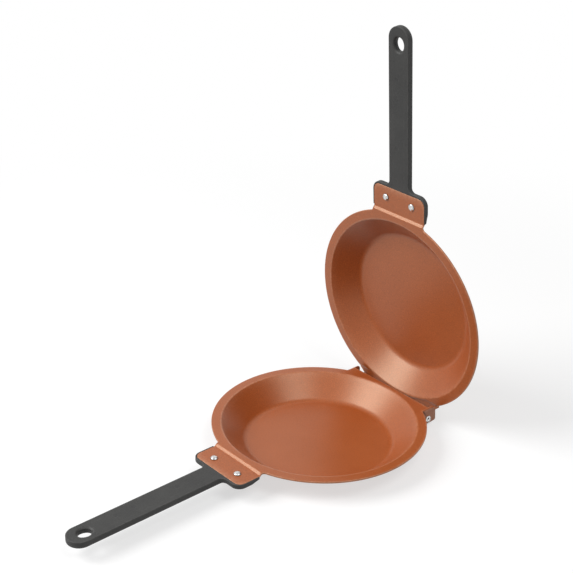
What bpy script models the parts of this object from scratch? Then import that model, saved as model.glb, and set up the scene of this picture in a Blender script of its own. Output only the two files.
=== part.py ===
"""Double sided flip pan: two shallow pressed pans joined by a riveted hinge, each with a riveted handle.

Metres, +Z up. The origin is the centre of the lower pan's flat underside, the handles point to -Y and the
hinge lies at +Y along X. The lid stands open, resting on its stops, as the pan is used.

Both halves are drawn in one pressing frame: the mating plane of the rims is z = 0 and the bowl hangs below
it. The lower half is lifted so that its underside is at z = 0, and the upper half is turned over and hung
on the hinge axis.
"""

import math

import bmesh
import bpy
from mathutils import Matrix, Vector

# Pressed sheet and bowl, the same for both pans
rim_radius = 0.0970
rim_width = 0.0088
wall_run = 0.0215
bowl_depth = 0.0200
sheet = 0.0018
lip_bend = 0.0010
floor_bend = 0.0090

# Running and seating clearances
seat_gap = 0.0003
rim_gap = 0.0003

# Handle tab pressed out of the rim, opposite the hinge
tab_half_width = 0.0303
tab_length = 0.0229
tab_corner = 0.0065
tab_root_fillet = 0.0035
crease_inset = 0.0027
crease_run = 0.0022
crease_drop = 0.0021

# Hinge: the pivot axis lies under the lower rim, just inside its straight edge
hinge_inset = 0.0045
pivot_inset = 0.0013
pivot_drop = 0.0107
open_angle = 85.0
ear_span = 0.0497
ear_front = 0.0078
ear_rear = 0.0082
ear_rear_radius = 0.0035
ear_rear_foot = 0.0006
ear_tip_rear = 0.0006
ear_tip_front = 0.0040
ear_tip_drop = 0.0052
ear_tip_radius = 0.0045
ear_top_drop = 0.0003
ear_fold_radius = 0.0010
wing_inset = 0.0004
washer_thickness = 0.0010
washer_radius = 0.0084

# Hinge strip of the lid, pressed back from the mating plane, and the ears bent from its ends
strip_drop = 0.0012
strip_front_inset = 0.0100
strip_lap = 0.0022
strip_bury = 0.0003
strip_side_length = 0.0025
strip_neck_inset = 0.0030
strip_reach = 0.0092
lip_margin = 0.0004
lid_ear_radius = 0.0072
arm_clearance = 0.0008
heel_front = 0.0060
heel_rear = 0.0010
arm_round_end = 60.0
disc_start = 75.0
disc_end = 190.0

# Hinge rivets, tubular, flanged at both ends
hinge_shank_radius = 0.0020
hinge_head_radius = 0.0031
hinge_bore_radius = 0.0010
hinge_tail_radius = 0.0029
hinge_tail_height = 0.0009

# Handles, moulded plastic
base_thickness = 0.0048
base_rim = 0.0021
base_side_rim = 0.0011
base_start = 0.0010
base_corner = 0.0085
base_root_fillet = 0.0055
base_edge_back = 0.0014
base_taper_run = 0.0080
base_taper_rise = 0.0022
bar_half_width = 0.0114
bar_thickness = 0.0062
bar_length = 0.1473
bar_edge_back = 0.0018
moulding_edge = 0.0004
hole_inset = 0.0159
hole_half_width = 0.0052
hole_half_length = 0.0062
hole_chamfer = 0.0014

# Handle rivets and their washers
rivet_half_pitch = 0.0155
rivet_inset = 0.0104
rivet_shank_radius = 0.0020
rivet_head_radius = 0.0033
rivet_head_height = 0.0017
rivet_tail_radius = 0.0029
rivet_tail_flat = 0.0020
rivet_tail_height = 0.0011
burr_radius = 0.0039
burr_thickness = 0.0008

# Facets
bowl_steps = 80
fold_steps = 6
round_steps = 20
hole_steps = 24
washer_steps = 28
strip_steps = 8
corner_steps = 5
edge_steps = 3
sharp_angle = 30.0

# A bevel whose section is part of a circle
round_bevel = 0.5

# Corners closer than this are one corner
weld_distance = 0.000001

# How far a cutting tool runs past what it cuts
overrun = 0.0020

# Sizes that follow from the ones above
mouth_radius = rim_radius - rim_width
floor_radius = mouth_radius - wall_run
pan_height = bowl_depth + sheet
wall_slope = math.atan2(bowl_depth, wall_run)
lip_outside = lip_bend + sheet
lip_start_radius = mouth_radius + lip_outside * math.tan(wall_slope / 2)
crease_y = -(rim_radius - crease_inset)
tab_end_y = crease_y - crease_run - tab_length
tab_top_z = -crease_drop
hinge_y = rim_radius - hinge_inset
pivot_y = hinge_y - pivot_inset
pivot_z = pan_height - pivot_drop
lid_pivot_z = rim_gap + pivot_drop
ear_inside = ear_span - sheet
washer_outside = ear_inside - seat_gap
lid_ear_span = washer_outside - washer_thickness - seat_gap
lid_ear_inside = lid_ear_span - sheet
strip_y = hinge_y - strip_front_inset
strip_end_y = pivot_y + strip_reach
strip_neck_y = hinge_y - strip_neck_inset
strip_side = math.sqrt(rim_radius**2 - strip_y**2)
strip_shoulder_y = strip_y + strip_side_length
rivet_y = tab_end_y + rivet_inset
handle_start_y = crease_y - crease_run - base_start
base_end_y = tab_end_y - base_rim
bar_end_y = base_end_y - bar_length
handle_half_width = tab_half_width + base_side_rim


def clear_scene():
    for thing in list(bpy.data.objects):
        bpy.data.objects.remove(thing, do_unlink=True)


def new_collection(name):
    collection = bpy.data.collections.new(name)
    bpy.context.scene.collection.children.link(collection)
    return collection


def new_material(name, finish):
    colour, roughness, metallic = finish
    material = bpy.data.materials.new(name)
    material.use_nodes = True
    shader = material.node_tree.nodes["Principled BSDF"]
    shader.inputs["Base Color"].default_value = (*colour, 1)
    shader.inputs["Roughness"].default_value = roughness
    shader.inputs["Metallic"].default_value = metallic
    return material


clear_scene()
pieces = new_collection("double_sided_flip_pan")
cutters = new_collection("cutters")


def new_object(name, mesh, collection=cutters):
    thing = bpy.data.objects.new(name, mesh)
    collection.objects.link(thing)
    thing.hide_render = collection is cutters
    thing.display_type = "WIRE" if collection is cutters else "TEXTURED"
    return thing


def settle(thing):
    """Applies the object's modifiers, or turns a curve into a welded mesh, and returns the mesh object."""
    bpy.context.view_layer.update()
    graph = bpy.context.evaluated_depsgraph_get()
    mesh = bpy.data.meshes.new_from_object(thing.evaluated_get(graph))
    form = bmesh.new()
    form.from_mesh(mesh)
    bmesh.ops.remove_doubles(form, verts=form.verts, dist=weld_distance)
    form.to_mesh(mesh)
    form.free()
    settled = new_object(thing.name + "_solid", mesh)
    settled.matrix_world = thing.matrix_world
    bpy.data.objects.remove(thing, do_unlink=True)
    return settled


def arc(centre, radius, start, end, steps):
    """Points on an arc from one angle to another, in degrees."""
    angles = [math.radians(start + (end - start) * i / steps) for i in range(steps + 1)]
    return [(centre[0] + radius * math.cos(a), centre[1] + radius * math.sin(a)) for a in angles]


def rounded(corners, steps=corner_steps):
    """A polygon whose corners (x, y, radius) are rounded with arcs, inward or outward bends alike."""
    points = []
    for index, (x, y, radius) in enumerate(corners):
        corner = Vector((x, y))
        to_last = (Vector(corners[index - 1][:2]) - corner).normalized()
        to_next = (Vector(corners[(index + 1) % len(corners)][:2]) - corner).normalized()
        half = to_last.angle(to_next) / 2
        if not radius:
            points.append((x, y))
            continue
        centre = corner + (to_last + to_next).normalized() * radius / math.sin(half)
        first = corner + to_last * radius / math.tan(half) - centre
        last = corner + to_next * radius / math.tan(half) - centre
        start = math.degrees(math.atan2(first.y, first.x))
        turn = math.degrees(math.atan2(first.x * last.y - first.y * last.x, first.dot(last)))
        points += arc(centre, radius, start, start + turn, steps)
    return points


def mirrored(half):
    """A closed outline from its right half, listed from +Y round to -Y."""
    return half + [(-x, y) for x, y in reversed(half) if x]


def turned(name, profile, steps, ring=False):
    """A solid of revolution about Z from (radius, height) points that run down the outer side."""
    count = len(profile)
    edges = [(i, i + 1) for i in range(count - 1)]
    if ring:
        edges.append((count - 1, 0))
    mesh = bpy.data.meshes.new(name)
    mesh.from_pydata([(r, 0, z) for r, z in profile], edges, [])
    thing = new_object(name, mesh)
    screw = thing.modifiers.new("turn", "SCREW")
    screw.axis = "Z"
    screw.steps = steps
    screw.render_steps = steps
    screw.use_merge_vertices = True
    screw.merge_threshold = weld_distance
    return settle(thing)


def plate(name, outline, low, high):
    """A flat plate between two heights, from a filled 2D outline."""
    curve = bpy.data.curves.new(name, "CURVE")
    curve.dimensions = "2D"
    curve.fill_mode = "BOTH"
    curve.extrude = (high - low) / 2
    spline = curve.splines.new("POLY")
    spline.points.add(len(outline) - 1)
    for point, (x, y) in zip(spline.points, outline):
        point.co = (x, y, 0, 1)
    spline.use_cyclic_u = True
    thing = new_object(name, curve)
    solid = settle(thing)
    solid.data.transform(Matrix.Translation((0, 0, (low + high) / 2)))
    join_flats(solid)
    return solid


def join_flats(thing):
    """Makes each cap one face: where outline points line up, the curve's fill leaves slivers in it."""
    form = bmesh.new()
    form.from_mesh(thing.data)
    walls = [face for face in form.faces if face.calc_area() > weld_distance**2 and not round(face.normal.z)]
    caps = list(set(form.faces) - set(walls))
    bmesh.ops.delete(form, geom=caps, context="FACES")
    bmesh.ops.edgeloop_fill(form, edges=[edge for edge in form.edges if edge.is_boundary])
    bmesh.ops.recalc_face_normals(form, faces=form.faces)
    form.to_mesh(thing.data)
    form.free()


def upright_plate(name, outline, inside, outside):
    """A plate that stands along YZ, from (y, z) points, between two distances from the middle along +X."""
    thing = plate(name, outline, inside, outside)
    turn = Matrix(((0, 0, 1, 0), (1, 0, 0, 0), (0, 1, 0, 0), (0, 0, 0, 1)))
    thing.data.transform(turn)
    return thing


def combine(thing, tool, operation):
    """One Boolean, settled at once; the tool is used up."""
    boolean = thing.modifiers.new(operation.lower(), "BOOLEAN")
    boolean.operation = operation
    boolean.solver = "EXACT"
    boolean.object = tool
    settled = settle(thing)
    bpy.data.objects.remove(tool, do_unlink=True)
    return settled


def copy_across(thing):
    """The same piece on the other side of the middle, its faces turned the right way again."""
    mesh = thing.data.copy()
    mesh.transform(Matrix.Diagonal((-1, 1, 1, 1)))
    mesh.flip_normals()
    return new_object(thing.name + "_across", mesh)


def both_sides(thing, tool, operation):
    """The same Boolean on both sides of the middle."""
    across = copy_across(tool)
    return combine(combine(thing, tool, operation), across, operation)


def round_pin(name, radius, y, z_low, z_high, x=0.0):
    """An upright pin for rivet holes."""
    pin = turned(name, [(0, z_high), (radius, z_high), (radius, z_low), (0, z_low)], round_steps)
    pin.data.transform(Matrix.Translation((x, y, 0)))
    return pin


def cross_pin(name, radius, y, z, x_low, x_high):
    """A pin along X for the hinge holes."""
    pin = turned(name, [(0, x_high), (radius, x_high), (radius, x_low), (0, x_low)], round_steps)
    pin.data.transform(Matrix.Translation((0, y, z)) @ Matrix.Rotation(math.pi / 2, 4, "Y"))
    return pin


def bowl_section(reach):
    """Half section of the pressed sheet: floor, floor bend, wall, lip bend and rim, then back underneath."""
    degrees = math.degrees(wall_slope)
    lip_centre = (lip_start_radius, -lip_outside)
    floor_start = floor_radius - floor_bend * math.tan(wall_slope / 2)
    floor_centre = (floor_start, floor_bend - bowl_depth)
    inner = arc(floor_centre, floor_bend, -90, degrees - 90, fold_steps)
    inner += arc(lip_centre, lip_outside, 90 + degrees, 90, fold_steps)
    outer = arc(lip_centre, lip_bend, 90, 90 + degrees, fold_steps)
    outer += arc(floor_centre, floor_bend + sheet, degrees - 90, -90, fold_steps)
    top = [(0, -bowl_depth)] + inner + [(reach, 0)]
    return top + [(reach, -sheet)] + outer + [(0, -pan_height)]


def tab_half_outline(rim_from):
    """Right half of the rim and tab outline, from an angle on the rim down to the middle of the tab."""
    fillet_x = tab_half_width + tab_root_fillet
    fillet_y = -math.sqrt((rim_radius + tab_root_fillet) ** 2 - fillet_x**2)
    rim_to = math.degrees(math.atan2(fillet_y, fillet_x))
    rim_steps = round(bowl_steps * (rim_from - rim_to) / 360)
    half = arc((0, 0), rim_radius, rim_from, rim_to, rim_steps)
    half += arc((fillet_x, fillet_y), tab_root_fillet, rim_to + 180, 180, corner_steps)[1:]
    corner = (tab_half_width - tab_corner, tab_end_y + tab_corner)
    half += arc(corner, tab_corner, 0, -90, corner_steps)
    return half


def press_tab(thing):
    """Presses the tab down past the crease, so that the rivet heads clear the other pan."""
    form = bmesh.new()
    form.from_mesh(thing.data)
    for y in (crease_y, crease_y - crease_run):
        geometry = form.verts[:] + form.edges[:] + form.faces[:]
        bmesh.ops.bisect_plane(
            form, geom=geometry, dist=weld_distance, plane_co=(0, y, 0), plane_no=(0, 1, 0)
        )
    for vert in form.verts:
        share = min(max((crease_y - vert.co.y) / crease_run, 0), 1)
        vert.co.z -= share * crease_drop
    form.to_mesh(thing.data)
    form.free()


def pan_blank(name, half_outline):
    """The pressed sheet of one pan, trimmed to its outline, with its tab pressed and its rivet holes."""
    reach = math.hypot(tab_half_width, tab_end_y) + overrun
    blank = turned(name, bowl_section(reach), bowl_steps)
    trim = plate(name + "_trim", mirrored(half_outline), -pan_height - overrun, overrun)
    blank = combine(blank, trim, "INTERSECT")
    hole = rivet_shank_radius + seat_gap
    pin = round_pin("tab_hole", hole, rivet_y, -sheet - overrun, overrun, rivet_half_pitch)
    blank = both_sides(blank, pin, "DIFFERENCE")
    press_tab(blank)
    return blank


def lower_pan_solid():
    """Lower pan: its rim ends in a straight edge at the hinge, with an ear folded down at each end of it."""
    wing = ear_span - wing_inset
    rim_from = math.degrees(math.acos(wing / rim_radius))
    half = [(0, hinge_y), (wing, hinge_y)] + tab_half_outline(rim_from)
    pan = pan_blank("lower_pan", half)
    ear = rounded(
        [
            (pivot_y - ear_front, -ear_top_drop, 0),
            (pivot_y + ear_rear, -ear_top_drop, ear_rear_radius),
            (pivot_y + ear_rear, ear_rear_foot - pivot_drop, ear_rear_radius),
            (pivot_y + ear_tip_rear, -pivot_drop - ear_tip_drop, ear_tip_radius),
            (pivot_y - ear_tip_front, -pivot_drop - ear_tip_drop, ear_tip_radius / 2),
        ]
    )
    ear = upright_plate("lower_ear", ear, ear_inside, ear_span)
    round_fold(ear)
    pan = both_sides(pan, ear, "UNION")
    hole = hinge_shank_radius + seat_gap
    reach = (ear_inside - overrun, ear_span + overrun)
    pin = cross_pin("ear_hole", hole, pivot_y, -pivot_drop, *reach)
    return both_sides(pan, pin, "DIFFERENCE")


def round_fold(ear):
    """Rounds the ear's top outer edge, where the sheet is folded."""
    form = bmesh.new()
    form.from_mesh(ear.data)
    edges = [
        edge
        for edge in form.edges
        if all(
            abs(v.co.x - ear_span) < weld_distance and abs(v.co.z + ear_top_drop) < weld_distance
            for v in edge.verts
        )
    ]
    half_fold = fold_steps // 2
    bmesh.ops.bevel(
        form, geom=edges, offset=ear_fold_radius, segments=half_fold, profile=round_bevel, affect="EDGES"
    )
    form.to_mesh(ear.data)
    form.free()


def strip_sides(grow):
    """The strip's far end, as wide as the ears are apart, and its shoulder out to the width of the rim."""
    ends = [(lid_ear_span, strip_end_y), (lid_ear_span, strip_neck_y), (strip_side, strip_shoulder_y)]
    return [(x + grow, y + grow) for x, y in ends]


def strip_outline(grow, front_grow):
    """The hinge strip of the lid, outside the lip of its mouth. Growing it overlaps the sheet around."""
    lip = lip_start_radius + lip_margin - front_grow
    front = strip_y - front_grow
    corner_x = math.sqrt(lip**2 - front**2)
    start = math.degrees(math.atan2(front, corner_x))
    half = [(strip_side + grow, front), (corner_x, front)]
    half = strip_sides(grow) + half + arc((0, 0), lip, start, 90, strip_steps)[1:-1]
    half += [(0, lip)]
    return half + [(-x, y) for x, y in reversed(half[:-1])]


def lid_ear_outline():
    """One ear of the lid: a disc about the pivot, the arm to the strip and the heel that stops the lid."""
    angle = math.radians(open_angle)
    centre = (pivot_y, lid_pivot_z)
    heel_height = pivot_drop - sheet - seat_gap

    def closed_place(y, z):
        """A point given about the pivot with the lid open, in the pressing frame of the lid."""
        closed_y = y * math.cos(angle) - z * math.sin(angle)
        closed_z = y * math.sin(angle) + z * math.cos(angle)
        return (pivot_y + closed_y, lid_pivot_z - closed_z)

    heel = [closed_place(-heel_rear, heel_height), closed_place(-heel_front, heel_height)]
    arm_front = hinge_y + arm_clearance
    foot = -strip_drop - sheet / 2
    arm_angle = math.degrees(math.acos((arm_front - pivot_y) / lid_ear_radius))
    outline = [(arm_front, foot), (strip_end_y, foot)]
    outline += arc(centre, strip_reach, 0, arm_round_end, corner_steps)
    heel_angle = math.degrees(math.atan2(heel[1][1] - centre[1], heel[1][0] - centre[0]))
    outline += arc(centre, lid_ear_radius, disc_start, heel_angle, round_steps // 2)
    outline += [heel[1], heel[0]]
    outline += arc(centre, lid_ear_radius, disc_end, 360 - arm_angle, round_steps // 2)
    return outline


def upper_pan_solid():
    """Upper pan: at the hinge a pressed-back strip runs on past the rim and carries the lid's two ears."""
    rim_from = math.degrees(math.asin(strip_y / rim_radius))
    half = [(0, strip_end_y)] + strip_sides(0) + tab_half_outline(rim_from)
    pan = pan_blank("upper_pan", half)
    room = plate("strip_room", strip_outline(overrun, 0), -strip_drop, overrun)
    pan = combine(pan, room, "DIFFERENCE")
    buried = -strip_drop - strip_bury
    back = plate("strip_back", strip_outline(0, strip_lap), -strip_drop - sheet, buried)
    pan = combine(pan, back, "UNION")
    ear = upright_plate("lid_ear", lid_ear_outline(), lid_ear_inside, lid_ear_span)
    hole = hinge_shank_radius + seat_gap
    reach = (lid_ear_inside - overrun, lid_ear_span + overrun)
    ear = combine(ear, cross_pin("lid_ear_hole", hole, pivot_y, lid_pivot_z, *reach), "DIFFERENCE")
    return both_sides(pan, ear, "UNION")


def handle_solid():
    """A handle: a wide base under the tab, a bar with rounded edges and an oval hanging hole at its end."""
    base_back = tab_top_z - base_thickness
    bar_back = tab_top_z - bar_thickness
    stub_end = base_end_y - base_root_fillet - overrun
    stub = bar_half_width - seat_gap
    half = [
        (handle_half_width, handle_start_y, 0),
        (handle_half_width, base_end_y, base_corner),
        (stub, base_end_y, base_root_fillet),
        (stub, stub_end, 0),
    ]
    outline = rounded(half + [(-x, y, r) for x, y, r in reversed(half)])
    handle = plate("handle", outline, base_back, tab_top_z)
    round_edges(handle, base_back, base_edge_back, edge_steps)
    round_edges(handle, tab_top_z, moulding_edge, 1)
    handle = combine(handle, bar_solid(bar_back), "UNION")
    taper = upright_plate(
        "base_taper",
        [
            (handle_start_y + overrun, base_back + base_taper_rise),
            (handle_start_y, base_back + base_taper_rise),
            (handle_start_y - base_taper_run, base_back),
            (handle_start_y - base_taper_run - bar_thickness, bar_back - overrun),
            (handle_start_y + overrun, bar_back - overrun),
        ],
        -handle_half_width - overrun,
        handle_half_width + overrun,
    )
    handle = combine(handle, taper, "DIFFERENCE")
    recess = plate("tab_seat", tab_seat_outline(), tab_top_z - sheet - seat_gap, tab_top_z + overrun)
    handle = combine(handle, recess, "DIFFERENCE")
    hole = rivet_shank_radius + seat_gap
    pin = round_pin("handle_rivet_hole", hole, rivet_y, bar_back, tab_top_z, rivet_half_pitch)
    handle = both_sides(handle, pin, "DIFFERENCE")
    return combine(handle, hanging_hole(bar_back), "DIFFERENCE")


def bar_solid(back_z):
    """The bar, which runs on under the base: straight sides and a round far end."""
    end = arc((0, bar_end_y + bar_half_width), bar_half_width, 0, -180, round_steps)
    start_y = handle_start_y - base_taper_run / 2
    start = [(-bar_half_width, start_y), (bar_half_width, start_y)]
    bar = plate("bar", start + end, back_z, tab_top_z)
    round_edges(bar, back_z, bar_edge_back, edge_steps)
    round_edges(bar, tab_top_z, moulding_edge, 1)
    return bar


def round_edges(thing, height, width, steps):
    """Rounds the outline's edges at one height, but not the straight edge nearest the pan."""
    form = bmesh.new()
    form.from_mesh(thing.data)
    nearest = max(v.co.y for v in form.verts)
    edges = [
        edge
        for edge in form.edges
        if all(abs(v.co.z - height) < weld_distance for v in edge.verts)
        and min(v.co.y for v in edge.verts) < nearest - weld_distance
        and len({round(face.normal.z) for face in edge.link_faces}) == 2
    ]
    bmesh.ops.bevel(form, geom=edges, offset=width, segments=steps, profile=round_bevel, affect="EDGES")
    form.to_mesh(thing.data)
    form.free()


def tab_seat_outline():
    """The recess that the pan's tab lies in, flush with the moulding and open towards the pan."""
    side = tab_half_width + seat_gap
    end = tab_end_y - seat_gap
    half = [
        (0, handle_start_y + overrun, 0),
        (side, handle_start_y + overrun, 0),
        (side, end, tab_corner + seat_gap),
        (0, end, 0),
    ]
    return rounded(half[1:3] + [(-x, y, r) for x, y, r in reversed(half[1:3])])


def hanging_hole(back_z):
    """The oval hole's tool: a waist with a chamfer at each face, turned and then stretched along the bar."""
    mouth = hole_half_width + hole_chamfer
    flare = hole_chamfer + overrun
    profile = [
        (0, tab_top_z + overrun),
        (mouth + overrun, tab_top_z + overrun),
        (hole_half_width, tab_top_z + overrun - flare),
        (hole_half_width, back_z - overrun + flare),
        (mouth + overrun, back_z - overrun),
        (0, back_z - overrun),
    ]
    tool = turned("hanging_hole", profile, hole_steps)
    stretch = Matrix.Diagonal((1, hole_half_length / hole_half_width, 1, 1))
    tool.data.transform(Matrix.Translation((0, bar_end_y + hole_inset, 0)) @ stretch)
    return tool


def handle_rivet_solid(x):
    """A dome-headed rivet: its head on the mating side, its upset tail on a washer behind the moulding."""
    under_head = tab_top_z + seat_gap
    washer_back = tab_top_z - base_thickness - seat_gap - burr_thickness
    tail_top = washer_back - seat_gap
    squash = rivet_head_height / rivet_head_radius
    dome = [(x, under_head + y * squash) for x, y in arc((0, 0), rivet_head_radius, 90, 0, fold_steps)]
    profile = dome + [
        (rivet_shank_radius, under_head),
        (rivet_shank_radius, tail_top),
        (rivet_tail_radius, tail_top),
        (rivet_tail_radius, tail_top - rivet_tail_height / 2),
        (rivet_tail_flat, tail_top - rivet_tail_height),
        (0, tail_top - rivet_tail_height),
    ]
    rivet = turned("rivet", profile, round_steps)
    rivet.data.transform(Matrix.Translation((x, rivet_y, 0)))
    return rivet


def burr_washer_solid(x):
    """The flat washer under a handle rivet's tail, which keeps it from splitting the moulding."""
    top = tab_top_z - base_thickness - seat_gap
    bottom = top - burr_thickness
    bore = rivet_shank_radius + seat_gap
    profile = [(bore, top), (burr_radius, top), (burr_radius, bottom), (bore, bottom)]
    washer = turned("washer", profile, round_steps, ring=True)
    washer.data.transform(Matrix.Translation((x, rivet_y, 0)))
    return washer


def on_hinge(thing, side):
    """Turns a piece drawn about Z onto the hinge axis, pointing out to the left or the right."""
    turn = Matrix.Rotation(math.radians(90 * side), 4, "Y")
    thing.data.transform(Matrix.Translation((0, pivot_y, -pivot_drop)) @ turn)
    return thing


def hinge_rivet_solid(side):
    """A tubular hinge rivet: rolled head outside the lower ear, flared tail inside the lid's ear."""
    head = ear_span + seat_gap
    tail = lid_ear_inside - seat_gap
    roll_radius = (hinge_head_radius - hinge_bore_radius) / 2
    roll = arc((hinge_bore_radius + roll_radius, head), roll_radius, 180, 0, fold_steps)
    profile = [(0, head)] + roll
    profile += [
        (hinge_shank_radius, head),
        (hinge_shank_radius, tail),
        (hinge_tail_radius, tail),
        (hinge_tail_radius, tail - hinge_tail_height),
        (0, tail - hinge_tail_height),
    ]
    return on_hinge(turned("hinge_rivet", profile, round_steps), side)


def hinge_washer_solid(side):
    """The plain washer between the lower pan's ear and the lid's ear."""
    bore = hinge_shank_radius + seat_gap
    outer, inner = washer_outside, washer_outside - washer_thickness
    profile = [(bore, outer), (washer_radius, outer), (washer_radius, inner), (bore, inner)]
    return on_hinge(turned("hinge_washer", profile, washer_steps, ring=True), side)


# Plain finishes: colour, roughness and how metallic
copper = ((0.50, 0.21, 0.12), 0.42, 0.7)
plastic = ((0.06, 0.06, 0.058), 0.5, 0.0)
bright = ((0.78, 0.78, 0.78), 0.25, 1.0)
grey_steel = ((0.55, 0.55, 0.55), 0.35, 1.0)

hinge_empty = bpy.data.objects.new("lid_hinge", None)
pieces.objects.link(hinge_empty)
hinge_empty.location = (0, pivot_y, pivot_z)
hinge_empty.rotation_euler.x = -math.radians(open_angle)


def finish(thing, name, material):
    """Names a settled solid, gives it its material and smooth shading, and moves it among the pieces."""
    mesh = thing.data
    form = bmesh.new()
    form.from_mesh(mesh)
    bmesh.ops.dissolve_degenerate(form, edges=form.edges, dist=weld_distance)
    form.to_mesh(mesh)
    form.free()
    mesh.materials.clear()
    mesh.materials.append(material)
    mesh.shade_smooth()
    mesh.set_sharp_from_angle(angle=math.radians(sharp_angle))
    piece = new_object(name, mesh, pieces)
    mesh.name = name
    bpy.data.objects.remove(thing, do_unlink=True)
    return piece


def add_lower(thing, name, material):
    """Places a piece of the lower half: the bowl's underside comes to z = 0."""
    thing.data.transform(Matrix.Translation((0, 0, pan_height)))
    return finish(thing, name, material)


def add_upper(thing, name, material):
    """Turns a piece of the upper half over and hangs it on the hinge axis."""
    turned_over = Matrix.Diagonal((1, 1, -1, 1))
    thing.data.transform(Matrix.Translation((0, -pivot_y, lid_pivot_z)) @ turned_over)
    thing.data.flip_normals()
    piece = finish(thing, name, material)
    piece.parent = hinge_empty
    return piece


halves = (("lower", add_lower, lower_pan_solid), ("upper", add_upper, upper_pan_solid))
for half_name, add, pan_solid in halves:
    add(pan_solid(), half_name + "_pan", new_material(half_name + "_pan", copper))
    add(handle_solid(), half_name + "_handle", new_material(half_name + "_handle", plastic))
    for side_name, x in (("left", -rivet_half_pitch), ("right", rivet_half_pitch)):
        rivet_name = f"{half_name}_handle_rivet_{side_name}"
        add(handle_rivet_solid(x), rivet_name, new_material(rivet_name, bright))
        washer_name = f"{half_name}_burr_washer_{side_name}"
        add(burr_washer_solid(x), washer_name, new_material(washer_name, grey_steel))

for side_name, side in (("left", -1), ("right", 1)):
    rivet_name = "hinge_rivet_" + side_name
    add_lower(hinge_rivet_solid(side), rivet_name, new_material(rivet_name, bright))
    washer_name = "hinge_washer_" + side_name
    add_lower(hinge_washer_solid(side), washer_name, new_material(washer_name, grey_steel))
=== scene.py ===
import bmesh
import bpy
import numpy as np
from mathutils import Matrix


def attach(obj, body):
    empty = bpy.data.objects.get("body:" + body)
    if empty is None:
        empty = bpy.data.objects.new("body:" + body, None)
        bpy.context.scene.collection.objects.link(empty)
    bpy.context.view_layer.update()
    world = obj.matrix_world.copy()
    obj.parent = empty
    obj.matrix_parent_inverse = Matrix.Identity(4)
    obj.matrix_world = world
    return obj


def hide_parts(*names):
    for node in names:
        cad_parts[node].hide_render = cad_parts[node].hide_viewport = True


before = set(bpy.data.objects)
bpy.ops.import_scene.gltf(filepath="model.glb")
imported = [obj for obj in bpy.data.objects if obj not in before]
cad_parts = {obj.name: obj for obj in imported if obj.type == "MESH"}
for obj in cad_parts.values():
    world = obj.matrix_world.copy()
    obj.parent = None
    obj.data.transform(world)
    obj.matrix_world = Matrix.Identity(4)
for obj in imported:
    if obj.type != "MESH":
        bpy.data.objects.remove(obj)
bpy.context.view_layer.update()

# Lower pan. One blank of aluminium sheet, pressed into a shallow bowl with a flat rim; a tab is left at
# the handle end and set down past a crease, and at the hinge end the rim is cut straight and two ears are
# folded down from it. The whole blank is sprayed with a copper-coloured ceramic non-stick coat and baked.
mm = 0.001
rim_radius = 97.0 * mm
mouth_radius = 88.2 * mm
floor_radius = 66.7 * mm
bowl_depth = 20.0 * mm
sheet = 1.8 * mm
lip_bend = 1.0 * mm
floor_bend = 9.0 * mm
sheet_edge = 0.5 * mm
small_edge = 0.35 * mm
tab_half_width = 30.3 * mm
tab_end_y = -119.4 * mm
tab_corner = 6.5 * mm
tab_root = 3.5 * mm
crease_y = -94.3 * mm
crease_run = 2.2 * mm
crease_drop = 2.1 * mm
crease_ease = 0.45 * mm
hinge_y = 92.5 * mm
pivot_y = 91.2 * mm
pivot_drop = 10.7 * mm
wing_half_width = 49.0 * mm
wing_corner = 1.0 * mm
ear_inside = 47.9 * mm
ear_outside = 49.7 * mm
ear_fold = 1.4 * mm
ear_bore = 2.3 * mm
pan_height = bowl_depth + sheet
wall_slope = np.arctan2(bowl_depth, mouth_radius - floor_radius)
lip_outside = lip_bend + sheet
lip_radius = mouth_radius + lip_outside * np.tan(wall_slope / 2)


def arc(centre, radius, start, end, steps):
    """Points on a circle of that radius about the centre, from one angle to another, in degrees."""
    angle = np.radians(np.linspace(start, end, steps + 1))
    return np.column_stack([centre[0] + radius * np.cos(angle), centre[1] + radius * np.sin(angle)])


def evened(line, step):
    """The same line with points added at equal shares of each stretch, so that none is longer than the
    step."""
    stretch = np.diff(line, axis=0)
    parts = np.maximum(np.ceil(np.hypot(stretch[:, 0], stretch[:, 1]) / step), 1).astype(int)
    piece = np.repeat(np.arange(len(parts)), parts)
    share = (np.arange(parts.sum()) - np.repeat(np.cumsum(parts) - parts, parts)) / parts[piece]
    return np.vstack([line[piece] + share[:, None] * stretch[piece], line[-1:]])


def both_halves(half):
    """A closed outline from its right half, which runs from the middle of the near side to that of the
    far side."""
    return np.vstack([half, (half * (-1, 1))[-2:0:-1]])


def outward(outline):
    """Unit normals of a closed outline that runs anticlockwise: each is the mean direction of the two
    stretches beside its point, turned a quarter clockwise."""
    along = np.roll(outline, -1, axis=0) - outline
    along /= np.linalg.norm(along, axis=1)[:, None]
    mean = along + np.roll(along, 1, axis=0)
    mean /= np.linalg.norm(mean, axis=1)[:, None]
    return np.column_stack([mean[:, 1], -mean[:, 0]])


def eased(distance, run, ease):
    """A slope from 0 to 1 over the run, with a rounded bend at each end: one hinge line less another,
    each with its corner replaced by a parabola that is the ease long on either side."""

    def hinge_line(x):
        return np.where(x < -ease, 0, np.where(x > ease, x, (x + ease) ** 2 / (4 * ease)))

    return (hinge_line(distance) - hinge_line(distance - run)) / run


def bowl_line(floor_bow, lip_bow):
    """Half section of one face of the bowl, as radius and height: the flat floor, a circular bend, the
    straight sloping wall and a circular lip that ends level with the rim."""
    slope = np.degrees(wall_slope)
    floor_centre = (floor_radius - floor_bend * np.tan(wall_slope / 2), floor_bend - bowl_depth)
    bend = arc(floor_centre, floor_bow, -90, slope - 90, 10)
    lip = arc((lip_radius, -lip_outside), lip_bow, 90 + slope, 90, 7)
    return evened(np.vstack([[(0, floor_centre[1] - floor_bow)], bend, lip]), 7 * mm)


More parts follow.
